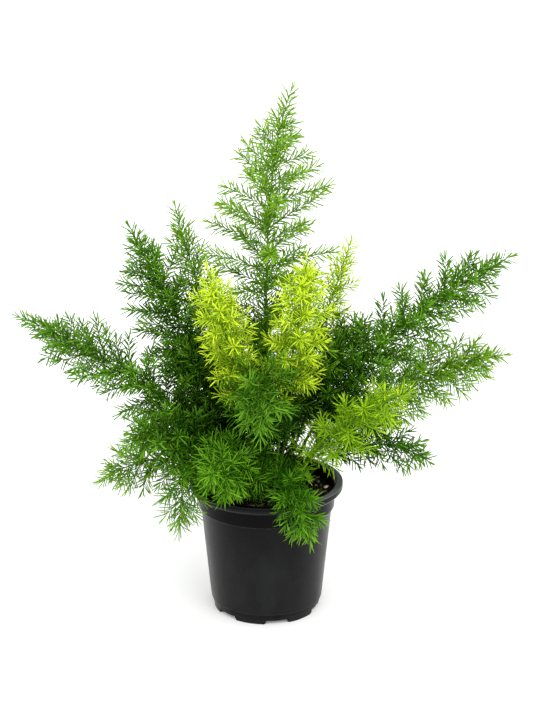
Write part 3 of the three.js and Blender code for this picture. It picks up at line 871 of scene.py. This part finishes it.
def turned(name, outline, segments, raised):
    """A mesh turned from an outline that starts on the axis. raised(spot) is where a point goes."""
    made = bmesh.new()
    rings = []
    for radius, height in outline:
        if radius < 1e-7:
            rings.append([made.verts.new(raised(Vector((0, 0, height))))])
            continue
        around = (math.tau * i / segments for i in range(segments))
        spots = (Vector((radius * math.sin(a), -radius * math.cos(a), height)) for a in around)
        rings.append([made.verts.new(raised(spot)) for spot in spots])
    for lower, upper in zip(rings, rings[1:]):
        for i in range(segments):
            corners = [lower[i % len(lower)], lower[(i + 1) % len(lower)]]
            corners += [upper[(i + 1) % len(upper)], upper[i % len(upper)]]
            made.faces.new(list(dict.fromkeys(corners)))
    bmesh.ops.recalc_face_normals(made, faces=made.faces)
    return mesh_of(name, made)


def placed(name, mesh, material):
    """A new object for a mesh, at the origin, in one material."""
    mesh.materials.append(material)
    return linked(name, mesh)


def mounted(piece, slot, *nodes):
    """Lets a finished piece ride on the plant's one body, in place of the nodes that it is given."""
    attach(piece, BODY)
    if nodes:
        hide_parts(*nodes)


NOTCHES = 6
FIRST_NOTCH = math.radians(11.5)  # from the front, towards +X
NOTCH_SLOPE = math.radians(1.6)
DRAINS = 6
DRAIN_RADIUS = 0.0045
DRAIN_AWAY = 0.04
DRAIN_CUT = 0.008  # deep enough to go through the floor
FLOOR_HEIGHT = 0.0045  # underside of the pot's floor
FOOT_PAD = 0.004
FOOT_HEIGHT = 0.012
FOOT_FLARE = 0.0008
POT_SEGMENTS = 240
LIP_BEVEL = Vector((0.0018, 0.0024))  # along the lower edge of the lip's skirt
LIP_THICKNESS = 0.003
FOOT_ROUNDING = 0.0006
EDGE_WIDTH = 0.0007  # how far from an edge its wear and painted highlight reach
LIP_EDGE_DROP = 0.0004  # from the lip's top to the middle of its worn, highlighted edge
OUTER_STEP = 0.0014  # height of the slope from body to collar, outside
INNER_STEP = 0.001  # and half its height inside


def body_radius(pot, height):
    """Outside radius of the pot's tapered body at a height."""
    climbed = (height - FOOT_HEIGHT) / (pot.collar_height - FOOT_HEIGHT)
    return pot.body_foot_radius + (pot.body_radius - pot.body_foot_radius) * climbed


def pot_outline(pot):
    """The pot's section, from the underside of its floor, up the outside, and down the inside."""
    top = pot.height
    skirt = top - pot.lip_drop
    lip = pot.lip_radius
    collar = pot.collar_radius
    inside = collar - pot.wall
    floor_top = FLOOR_HEIGHT + pot.wall
    outer_step = pot.collar_height - OUTER_STEP
    inner_step = pot.collar_height - INNER_STEP
    return [
        (0.0, FLOOR_HEIGHT, 0.0),
        (pot.foot_radius - FOOT_PAD, FLOOR_HEIGHT, 0.0004),
        (pot.foot_radius - FOOT_PAD, 0.0, 0.0003),
        (pot.foot_radius, 0.0, 0.0005),
        (pot.foot_radius + FOOT_FLARE, FOOT_HEIGHT - 0.001, 0.0004),
        (body_radius(pot, FOOT_HEIGHT), FOOT_HEIGHT, 0.0006),
        (body_radius(pot, outer_step), outer_step, 0.0005),
        (collar, pot.collar_height, 0.0008),
        (collar, top - pot.wall - pot.rim_slope, 0.001),
        (lip - pot.rim_width + pot.wall, top - pot.wall, 0.001),
        (lip - LIP_THICKNESS, top - pot.wall, 0.0004),
        (lip - LIP_THICKNESS, skirt, 0.0003),
        (lip - LIP_BEVEL.x, skirt, 0.0004),
        (lip, skirt + LIP_BEVEL.y, 0.0004),
        (lip, top, 0.0012),
        (lip - pot.rim_width, top, 0.0014),
        (inside, top - pot.rim_slope, 0.0014),
        (inside, pot.collar_height + INNER_STEP, 0.0004),
        (body_radius(pot, inner_step) - pot.wall, inner_step, 0.0004),
        (body_radius(pot, floor_top) - pot.wall, floor_top, 0.001),
        (0.0, floor_top, 0.0),
    ]


def notched(pot):
    """Lifts the foot ring's underside where its drain cuts are."""
    half_width = pot.notch_width / 2 / pot.foot_radius
    pitch = math.tau / NOTCHES

    def raised(spot):
        if spot.z > FOOT_ROUNDING or spot.xy.length < pot.foot_radius - 2 * FOOT_PAD:
            return spot
        around = math.atan2(spot.x, -spot.y) - FIRST_NOTCH
        off_middle = abs((around + pitch / 2) % pitch - pitch / 2)
        depth = min(max((half_width - off_middle) / NOTCH_SLOPE, 0.0), 1.0)
        return spot + Vector((0, 0, pot.notch_height * depth))

    return raised


def drained(piece):
    """Cuts the drain holes through a pot's floor."""
    cutter = bmesh.new()
    for i in range(DRAINS):
        turn = math.tau * i / DRAINS
        size = {"radius1": DRAIN_RADIUS, "radius2": DRAIN_RADIUS, "depth": DRAIN_CUT}
        hole = bmesh.ops.create_cone(cutter, cap_ends=True, segments=32, **size)
        spot = Vector((DRAIN_AWAY * math.cos(turn), DRAIN_AWAY * math.sin(turn), FLOOR_HEIGHT))
        bmesh.ops.translate(cutter, verts=hole["verts"], vec=spot)
    tool = linked("drain_cutter", mesh_of("drain_cutter", cutter))
    cut = piece.modifiers.new("Drains", "BOOLEAN")
    cut.operation = "DIFFERENCE"
    cut.object = tool
    applied(piece, cut)
    bpy.data.objects.remove(tool)


def marked_edges(mesh, pot):
    """Stores where the pot's edges are, lightened partly by wear and partly by a painted highlight: its lip,
    its step and its foot.
    """
    lines = [
        (pot.lip_radius, pot.height - LIP_EDGE_DROP),
        (pot.lip_radius - LIP_BEVEL.x, pot.height - pot.lip_drop),
        (pot.lip_radius, pot.height - pot.lip_drop + LIP_BEVEL.y),
        (pot.collar_radius, pot.collar_height),
        (pot.foot_radius, 0.0),
        (body_radius(pot, FOOT_HEIGHT), FOOT_HEIGHT),
    ]
    edge = mesh.attributes.new("edge", "FLOAT", "POINT")
    for vertex, value in zip(mesh.vertices, edge.data):
        away = vertex.co.xy.length
        nearest = min(math.hypot(away - radius, vertex.co.z - height) for radius, height in lines)
        value.value = max(0.0, 1.0 - nearest / EDGE_WIDTH)


MIX_GAP = 0.0003  # between the mix and the pot, and between the mix and its litter
MIX_SHOULDER = 0.003  # over the collar's step: where the mix has its full width
MIX_NECK = 0.001  # and up to where it has the body's width
MIX_RINGS = 56
MIX_SEGMENTS = 168
CRUMBS_PER_METRE = 260
GRAINS_PER_METRE = 620


def mix_height(mix, x, y):
    """Height of the mix's surface, with the humps of its solid and finer crumbs on them."""
    swell = math.sin(x / 0.011 + 1.3) * math.cos(y / 0.013)
    hump = math.sin(x / 0.0047 - y / 0.0059) + math.cos(x / 0.0061 + y / 0.0039)
    crumb = noise.noise(Vector((x, y, 0)) * CRUMBS_PER_METRE)
    grain = noise.noise(Vector((x, y, 1)) * GRAINS_PER_METRE)
    fine = crumb * 0.7 + grain * 0.35
    return mix.level + mix.relief * (0.7 * swell + 0.3 * hump + fine)


def mix_mesh(mix, pot):
    """The mix as one closed body: uneven on top, and down to the pot's floor."""
    side = pot.collar_radius - pot.wall - MIX_GAP
    shoulder = pot.collar_height + MIX_SHOULDER
    neck = pot.collar_height + MIX_NECK
    neck_radius = body_radius(pot, pot.collar_height - INNER_STEP) - pot.wall - MIX_GAP
    foot = FLOOR_HEIGHT + pot.wall + MIX_GAP
    outline = [(0.0, foot), (body_radius(pot, foot) - pot.wall - MIX_GAP, foot)]
    outline += [(neck_radius, neck), (side, shoulder)]
    outline += [(side * (MIX_RINGS - i) / MIX_RINGS, mix.level) for i in range(MIX_RINGS)]
    outline.append((0.0, mix.level))

    def raised(spot):
        if spot.z < mix.level - 1e-6:
            return spot
        return Vector((spot.x, spot.y, mix_height(mix, spot.x, spot.y)))

    return turned("potting_mix", outline, MIX_SEGMENTS, raised)


class Flake(NamedTuple):
    """One larger bit of bark or dry leaf that lies on the mix, in millimetres and degrees."""

    x: float
    y: float
    turn: float
    length: float
    width: float
    curl: float  # how far its ends stand over its middle
    tint: float  # 0.9 for bark, up to 0.96 and over for dry leaf


FLAKES = [
    Flake(53, 41, -14, 11, 3.6, 1.6, 0.98),
    Flake(47, 49, 55, 8, 3.0, 1.0, 0.92),
    Flake(61, -3, 40, 7, 3.0, 1.0, 0.92),
    Flake(56, 27, 70, 5, 2.0, 0.6, 0.97),
    Flake(66, 13, 15, 5, 2.2, 0.6, 0.9),
    Flake(-7, -36, 20, 9, 2.4, 1.0, 0.92),
    Flake(-15, -40, -40, 6, 2.0, 0.6, 0.97),
    Flake(3, -42, 75, 6, 2.2, 0.6, 0.92),
    Flake(-44, 30, 110, 9, 3.2, 1.4, 0.97),
    Flake(-52, -8, 10, 7, 2.6, 0.8, 0.92),
    Flake(-20, 50, -30, 8, 3.0, 1.0, 0.92),
    Flake(14, 56, 35, 10, 3.0, 1.5, 0.98),
]
FLAKE_THICKNESS = 0.0007
RAGGEDNESS = 0.35  # of a flake's outline
RAGS = 2.0  # a higher one makes its bays and points smaller
RAGS_APART = 3.7  # from one flake's noise to the next one's


def flakes_mesh(mix):
    """All the larger bits as one mesh: closed lenses, ragged in outline and curled up at their ends."""
    made = bmesh.new()
    tint = made.verts.layers.float.new("tint")
    for i, flake in enumerate(FLAKES):
        ball = bmesh.ops.create_icosphere(made, subdivisions=4, radius=1.0)["verts"]
        half = Vector((flake.length, flake.width)) * MM / 2
        spot = Vector((flake.x, flake.y)) * MM
        lift = mix_height(mix, *spot) + FLAKE_THICKNESS
        turn = Matrix.Rotation(math.radians(flake.turn), 2)
        for vertex in ball:
            bay = Vector((vertex.co.x * RAGS, vertex.co.y * RAGS, i * RAGS_APART))
            ragged = 1.0 + RAGGEDNESS * noise.noise(bay)
            flat = Vector((vertex.co.x * half.x, vertex.co.y * half.y)) * ragged
            curl = flake.curl * MM * vertex.co.x**2
            height = lift + curl + vertex.co.z * FLAKE_THICKNESS / 2
            vertex.co = Vector((*(spot + turn @ flat), height))
            vertex[tint] = flake.tint
    return mesh_of("bark_flakes", made)


LITTER_SOCKETS = {
    "Chip Length": "distance",
    "Chip Density": "number",
    "Crumb Density": "number",
    "Seed": "count",
    "Material": "material",
}


class Litter(NamedTuple):
    """How one kind of litter lies about. Its scales are shares of a chip's length."""

    salt: int  # the first of the six for its random draws
    long: float
    wide: float
    thick: float
    tilt: float  # how far off flat it may lie, in radians


SMALLEST_LITTER = 0.3  # beside the largest of its kind
NARROWEST_LITTER = 0.6  # beside the usual width
WIDEST_LITTER = 1.4


def litter_layer(tree, surface, shape, density, litter):
    """One kind of litter on a surface."""
    salt = litter.salt
    inputs = {"Mesh": surface, "Density": density, "Seed": salt}
    points = tree.add("GeometryNodeDistributePointsOnFaces", inputs)
    number = tree.number()
    tip_x = tree.draw(-litter.tilt, litter.tilt, number, salt + 1)
    tip_y = tree.draw(-litter.tilt, litter.tilt, number, salt + 2)
    spin = tree.draw(0.0, math.tau, number, salt)
    rotation = tree.turned_to(Z_AXIS, (Z_AXIS, spin), (X_AXIS, tip_x), (Y_AXIS, tip_y))
    size = tree.given("Chip Length") * tree.draw(SMALLEST_LITTER, 1.0, number, salt + 3)
    narrowest = litter.wide * NARROWEST_LITTER
    widest = litter.wide * WIDEST_LITTER
    width = size * tree.draw(narrowest, widest, number, salt + 4)
    scale = tree.vector(size * litter.long, width, size * litter.thick)
    inputs = {"Points": points, "Instance": shape, "Rotation": rotation, "Scale": scale}
    layer = tree.add("GeometryNodeInstanceOnPoints", inputs)
    return tree.store(layer, "tint", tree.draw(0.0, 1.0, number, salt + 5), "INSTANCE")


CHIPS = Litter(20, long=1.0, wide=0.5, thick=0.2, tilt=0.5)
STRAWS = Litter(30, long=1.1, wide=0.09, thick=0.09, tilt=0.35)
CRUMBS = Litter(40, long=0.22, wide=0.2, thick=0.18, tilt=1.5)
STRAWS_PER_CHIP = 0.35


def litter_tree():
    """Geometry Nodes for what lies on the mix: flakes of bark, dry needles and crumbs."""
    tree = GrowthTree("potting_litter", LITTER_SOCKETS)
    surface = tree.given("Geometry")
    size = {"Size": (1, 1, 1), "Vertices X": 4, "Vertices Y": 3, "Vertices Z": 2}
    slab = tree.add("GeometryNodeMeshCube", size)
    rough = tree.add("ShaderNodeTexNoise", {"Scale": 1.6, "Detail": 1.0}, out="Color")
    rough = tree.add("ShaderNodeVectorMath", {0: rough, 1: (0.5, 0.5, 0.5)}, operation="SUBTRACT")
    slab = tree.add("GeometryNodeSetPosition", {"Geometry": slab, "Offset": rough})
    crumb = tree.add("GeometryNodeMeshIcoSphere", {"Radius": 0.5, "Subdivisions": 1})
    crumb = tree.add("GeometryNodeSetPosition", {"Geometry": crumb, "Offset": rough})
    bend = {"Resolution": 4, "Start": (-0.5, 0, 0), "Middle": (0, 0.25, 0.3), "End": (0.5, 0, 0)}
    straw = rod(tree, tree.add("GeometryNodeCurveQuadraticBezier", bend), 0.5, 3)
    chips = tree.given("Chip Density")
    layers = [
        litter_layer(tree, surface, slab, chips, CHIPS),
        litter_layer(tree, surface, straw, chips * STRAWS_PER_CHIP, STRAWS),
        litter_layer(tree, surface, crumb, tree.given("Crumb Density"), CRUMBS),
    ]
    return tree.finish(tree.join(*layers))


LITTER_MARGIN = 0.004  # free of litter, along the pot's wall
TOP_RINGS = 24
TOP_SEGMENTS = 96


def mix_top(mix, pot):
    """The open top of the mix, for litter to lie on."""
    reach = pot.collar_radius - pot.wall - LITTER_MARGIN
    outline = [(reach * i / TOP_RINGS, mix.level) for i in range(TOP_RINGS + 1)]

    def raised(spot):
        return Vector((spot.x, spot.y, mix_height(mix, spot.x, spot.y) + MIX_GAP))

    return turned("mix_top", outline, TOP_SEGMENTS, raised)


# ---- Operators ----


SHARP_EDGE = math.radians(38)


class FERN_OT_pot(bpy.types.Operator):
    """Adds the moulded nursery pot, with its lip, collar, notched foot and drain holes"""

    bl_idname = "fern.pot"
    bl_label = "Nursery Pot"

    def execute(self, context):
        pot = context.scene.fern_pot
        outline = rounded(pot_outline(pot))
        mesh = turned("nursery_pot", outline, POT_SEGMENTS, notched(pot))
        piece = placed("nursery_pot", mesh, pot_finish(pot, "moulded_black_plastic", BODY_GLOSS))
        drained(piece)
        marked_edges(piece.data, pot)
        # the lip and collar get a copy of the plastic with less gloss: a darker painted reflection and
        # painted shade under the lip
        piece.data.materials.append(pot_finish(pot, "duller_black_plastic", LIP_SHADED_GLOSS))
        for face in piece.data.polygons:
            face.material_index = int(face.center.z > pot.collar_height)
        piece.data.shade_smooth()
        piece.data.set_sharp_from_angle(angle=SHARP_EDGE)
        mounted(piece, "pot_black", "pot")
        return {"FINISHED"}


class FERN_OT_mix(bpy.types.Operator):
    """Adds the potting mix, with bark, straw and crumbs on it"""

    bl_idname = "fern.mix"
    bl_label = "Potting Mix"

    def execute(self, context):
        mix = context.scene.fern_mix
        pot = context.scene.fern_pot
        piece = placed("potting_mix_body", mix_mesh(mix, pot), mix_finish("moist_mix", mix))
        piece.data.shade_smooth()
        mounted(piece, "potting_mix", "potting_mix")
        bark = mix_finish("bark_litter", mix)
        values = {
            "Chip Length": mix.chip_length,
            "Chip Density": mix.chip_density,
            "Crumb Density": mix.crumb_density,
            "Seed": mix.seed,
            "Material": bark,
        }
        litter = grown("bark_litter", mix_top(mix, pot), litter_tree(), values)
        mounted(litter, "potting_mix")
        flakes = placed("bark_flakes", flakes_mesh(mix), bark)
        flakes.data.shade_smooth()
        mounted(flakes, "potting_mix")
        return {"FINISHED"}


PEBBLE_SHARE = 0.7  # of the size of its solid
PEBBLE_LUMPS = ((0.1, 1.1), (0.03, 3.5))  # each one's height and fineness


class FERN_OT_pebble(bpy.types.Operator):
    """Adds the cream pebble that lies on the mix"""

    bl_idname = "fern.pebble"
    bl_label = "Pebble"

    def execute(self, context):
        made = bmesh.new()
        bmesh.ops.create_icosphere(made, subdivisions=5, radius=1.0)
        half = (PEBBLE_HIGH - PEBBLE_LOW) / 2 * PEBBLE_SHARE
        middle = (PEBBLE_LOW + PEBBLE_HIGH) / 2
        middle.z = PEBBLE_LOW.z + half.z
        for vertex in made.verts:
            lump = 1.0
            for tall, fine in PEBBLE_LUMPS:
                lump += tall * noise.noise(vertex.co * fine)
            vertex.co = middle + vertex.co * half * lump
        mesh = mesh_of("cream_pebble", made)
        piece = placed("cream_pebble", mesh, pebble_finish(context.scene.fern_mix))
        mesh.shade_smooth()
        mounted(piece, "pebble", "pebble")
        return {"FINISHED"}


STEM_SUNK = 0.012  # how deep a stem goes into the mix
TIP_TUFT = 0.005  # left for the last needles, short of a frond's tip
SEED_STEP = 100  # from one frond's random growth to the next one's


def frond_values(frond, foliage, mix, material):
    """A frond's inputs for its tree: its line, and the plant's growth as its shade has it."""
    leafage = LEAFAGE[frond.shade]
    foot = Vector((*frond.root, 0)) * MM
    foot.z = mix.level - STEM_SUNK
    knee = Vector(frond.knee) * MM
    tip = Vector(frond.tip) * MM
    return {
        "Root": foot,
        "Risen": foot + Vector((0, 0, frond.rise * MM + STEM_SUNK)),
        "Knee": knee,
        "Tip": tip - (tip - knee).normalized() * TIP_TUFT,
        "Stem Radius": foliage.stem_radius,
        "Stem Tip Radius": foliage.stem_tip_radius,
        "Bare": frond.bare,
        "Taper": frond.taper,
        "Reach": frond.reach * MM,
        "Branch Radius": foliage.branch_radius,
        "Branch Spacing": foliage.branch_spacing * leafage.branch_spacing * frond.openness,
        "Branch Angle": foliage.branch_angle * frond.spread,
        "Tip Branch Angle": foliage.tip_branch_angle * frond.spread,
        "Branch Droop": foliage.branch_droop,
        "Node Spacing": foliage.node_spacing * leafage.node_spacing,
        "Needles": foliage.needles,
        "Tip Needles": foliage.tip_needles,
        "Needle Length": foliage.needle_length * leafage.needle_length * frond.slender,
        "Needle Width": foliage.needle_width * leafage.needle_width / frond.slender,
        "Needle Lean": foliage.needle_lean * leafage.needle_lean,
        "Youth": frond.youth,
        "Seed": foliage.seed + SEED_STEP * FRONDS.index(frond),
        "Material": material,
    }


class FrondsOfOneShade:
    """Adds every frond of the operator's shade."""

    shade = ""

    def execute(self, context):
        foliage = context.scene.fern_foliage
        old = getattr(foliage, self.shade)
        new = getattr(foliage, self.shade + "_tip")
        painted_shade_share = LEAFAGE[self.shade].painted_shade_share
        material = foliage_finish(self.shade + "_needles", old, new, foliage.stem, painted_shade_share)
        tree = bpy.data.node_groups.get("fern_frond") or frond_tree()
        for frond in FRONDS:
            if frond.shade != self.shade:
                continue
            values = frond_values(frond, foliage, context.scene.fern_mix, material)
            base = bpy.data.meshes.new(frond.name)
            piece = grown(frond.name + "_frond", base, tree, values)
            mounted(piece, "foliage_" + self.shade, "frond_" + frond.name)
        return {"FINISHED"}


class FERN_OT_deep_fronds(FrondsOfOneShade, bpy.types.Operator):
    """Adds the old fronds, deep green"""

    bl_idname = "fern.deep_fronds"
    bl_label = "Deep Green Fronds"
    shade = "deep"


class FERN_OT_mid_fronds(FrondsOfOneShade, bpy.types.Operator):
    """Adds the grown fronds, mid green"""

    bl_idname = "fern.mid_fronds"
    bl_label = "Mid Green Fronds"
    shade = "mid"


class FERN_OT_fresh_fronds(FrondsOfOneShade, bpy.types.Operator):
    """Adds the fronds that hang over the rim, fresh green"""

    bl_idname = "fern.fresh_fronds"
    bl_label = "Fresh Green Fronds"
    shade = "fresh"


class FERN_OT_lime_fronds(FrondsOfOneShade, bpy.types.Operator):
    """Adds the young fronds, yellow green"""

    bl_idname = "fern.lime_fronds"
    bl_label = "Lime Fronds"
    shade = "lime"


class FERN_OT_stage(bpy.types.Operator):
    """Adds the floor, the lights and the camera"""

    bl_idname = "fern.stage"
    bl_label = "Stage"

    def execute(self, context):
        stage = context.scene.fern_stage
        add_floor(stage)
        add_lights(stage)
        add_camera(stage)
        context.scene.view_settings.view_transform = "Standard"
        return {"FINISHED"}


FLOOR_RADIUS = 12.0
KEY_PLACE = Vector((0.3, -1.3, 1.7))
KEY_AIM = Vector((0, 0, 0.25))
SENSOR_WIDTH = 36.0  # in millimetres


def add_floor(stage):
    made = bmesh.new()
    bmesh.ops.create_circle(made, cap_ends=True, segments=96, radius=FLOOR_RADIUS)
    mesh = mesh_of("floor", made)
    finish = Finish("matt_white_floor", roughness=0.9, specular=0.1)
    finish.set("Base Color", opaque(stage.floor))
    finish.set("Emission Color", opaque(stage.floor))
    finish.set("Emission Strength", stage.floor_glow)
    placed("floor", mesh, finish.material)


def add_lights(stage):
    world = bpy.data.worlds.new("studio")
    bpy.context.scene.world = world
    world.use_nodes = True
    background = world.node_tree.nodes["Background"]
    background.inputs["Color"].default_value = (1.0, 1.0, 1.0, 1.0)
    background.inputs["Strength"].default_value = stage.sky
    light = bpy.data.lights.new("key", "SUN")
    light.energy = stage.key
    light.angle = stage.key_size
    key = linked("key", light)
    key.location = KEY_PLACE
    key.rotation_euler = (KEY_AIM - KEY_PLACE).to_track_quat("-Z", "Y").to_euler()


def add_camera(stage):
    camera = bpy.data.cameras.new("camera")
    camera.lens = stage.lens
    camera.sensor_width = SENSOR_WIDTH
    eye = linked("camera", camera)
    eye.location = (0.0, -stage.distance, stage.eye_height)
    eye.rotation_euler = Euler((math.pi / 2 - stage.tilt, 0.0, 0.0))
    bpy.context.scene.camera = eye


class FERN_PT_panel(bpy.types.Panel):
    """Lists the fern's pieces and settings"""

    bl_idname = "FERN_PT_panel"
    bl_label = "Foxtail Fern"
    bl_space_type = "VIEW_3D"
    bl_region_type = "UI"
    bl_category = "Fern"

    def draw(self, context):
        for group, operators in PANEL_ROWS.items():
            box = self.layout.box()
            settings = getattr(context.scene, group)
            for prop in settings.bl_rna.properties:
                if not prop.is_readonly and prop.identifier != "name":
                    box.prop(settings, prop.identifier)
            for operator in operators:
                box.operator(operator.bl_idname)


SETTINGS = {
    "fern_pot": FernPotSettings,
    "fern_mix": FernMixSettings,
    "fern_foliage": FernFoliageSettings,
    "fern_stage": FernStageSettings,
}
PANEL_ROWS = {
    "fern_pot": [FERN_OT_pot],
    "fern_mix": [FERN_OT_mix, FERN_OT_pebble],
    "fern_foliage": [FERN_OT_deep_fronds, FERN_OT_mid_fronds, FERN_OT_fresh_fronds, FERN_OT_lime_fronds],
    "fern_stage": [FERN_OT_stage],
}
OPERATORS = [operator for operators in PANEL_ROWS.values() for operator in operators]
CLASSES = [*SETTINGS.values(), *OPERATORS, FERN_PT_panel]


def register():
    for each in CLASSES:
        bpy.utils.register_class(each)
    for name, group in SETTINGS.items():
        setattr(bpy.types.Scene, name, PointerProperty(type=group))


def unregister():
    for name in SETTINGS:
        delattr(bpy.types.Scene, name)
    for each in reversed(CLASSES):
        bpy.utils.unregister_class(each)


def main():
    register()
    for operator in OPERATORS:
        module, name = operator.bl_idname.split(".")
        getattr(getattr(bpy.ops, module), name)()


if __name__ == "__main__":
    main()
